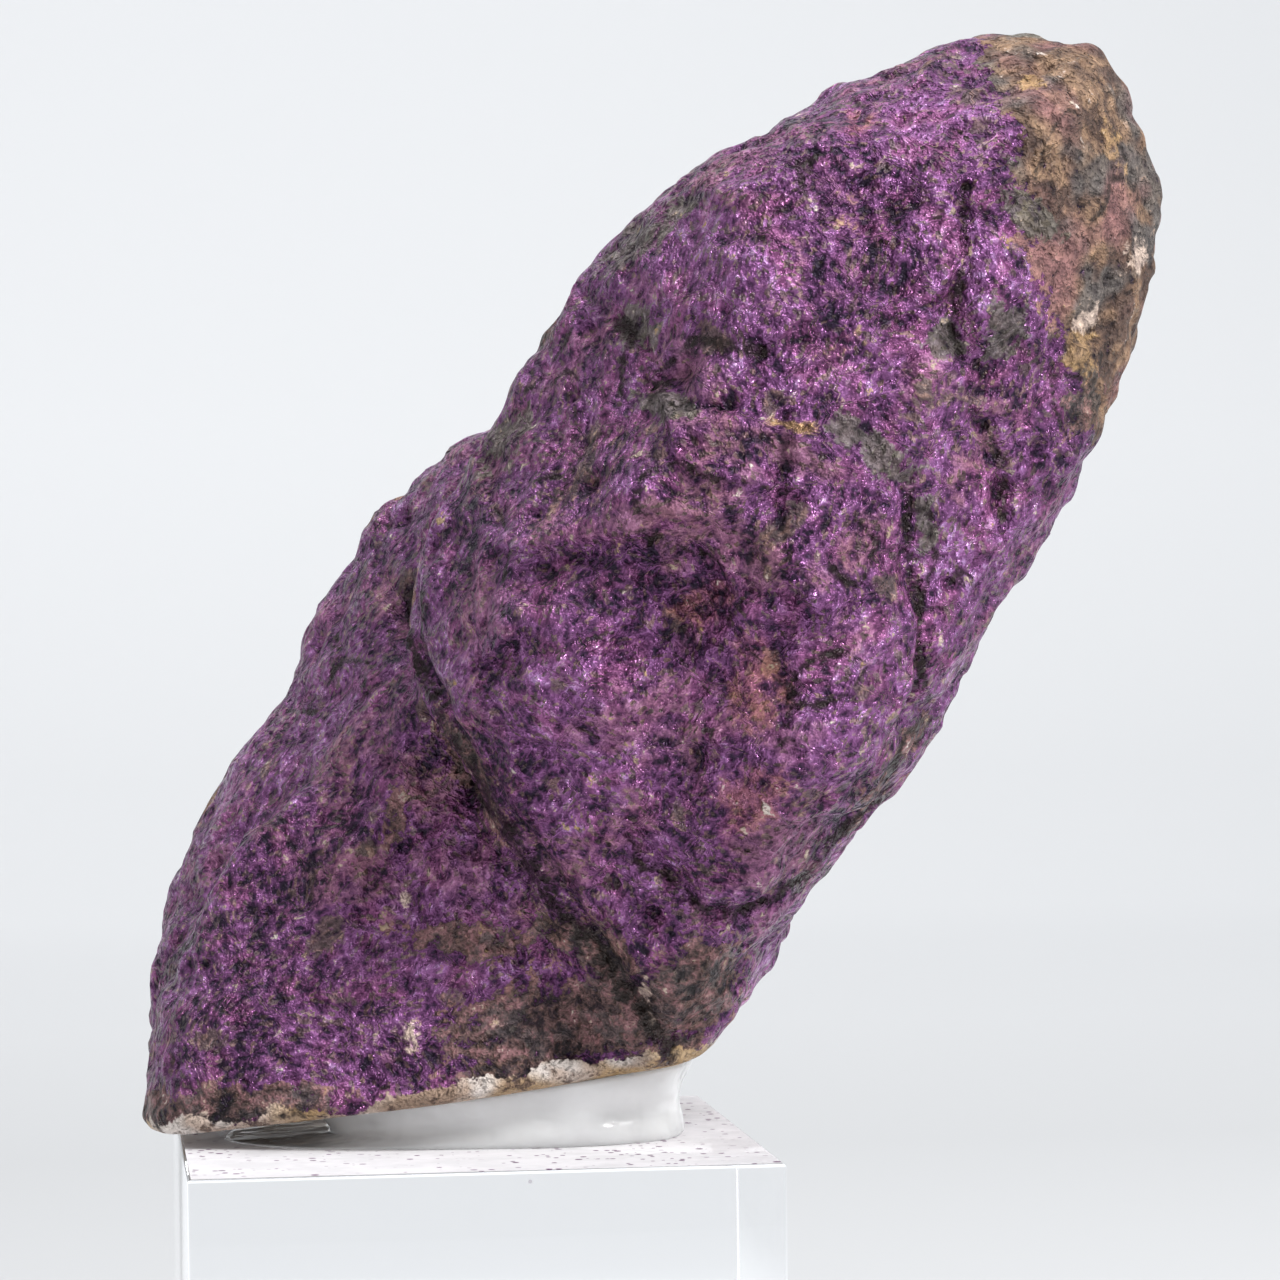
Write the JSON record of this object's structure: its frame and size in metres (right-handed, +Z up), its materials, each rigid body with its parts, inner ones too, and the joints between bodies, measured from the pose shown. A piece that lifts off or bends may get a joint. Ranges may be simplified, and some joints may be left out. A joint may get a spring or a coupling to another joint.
{
  "type": "purpurite specimen on a clear block",
  "caption": "Leaning purple purpurite hand specimen with a flat broken base, held by a pad of translucent putty on a clear acrylic display cube.",
  "frame": {"origin": "middle of the acrylic cube's underside", "axes": "+Z up, +X right along the cube's front edge, +Y away from the front"},
  "size_m": [0.0448, 0.0362, 0.0744],
  "materials": {
    "purpurite": "fibrous broken purple phosphate with a satin, part metallic sheen and brown and grey-green patches",
    "putty": "translucent milky museum putty, wet gloss",
    "acrylic": "clear polished acrylic with fine purple dust on top"
  },
  "bodies": {
    "root": {"specimen": "purpurite", "putty": "putty", "block": "acrylic"}
  },
  "joints": []
}
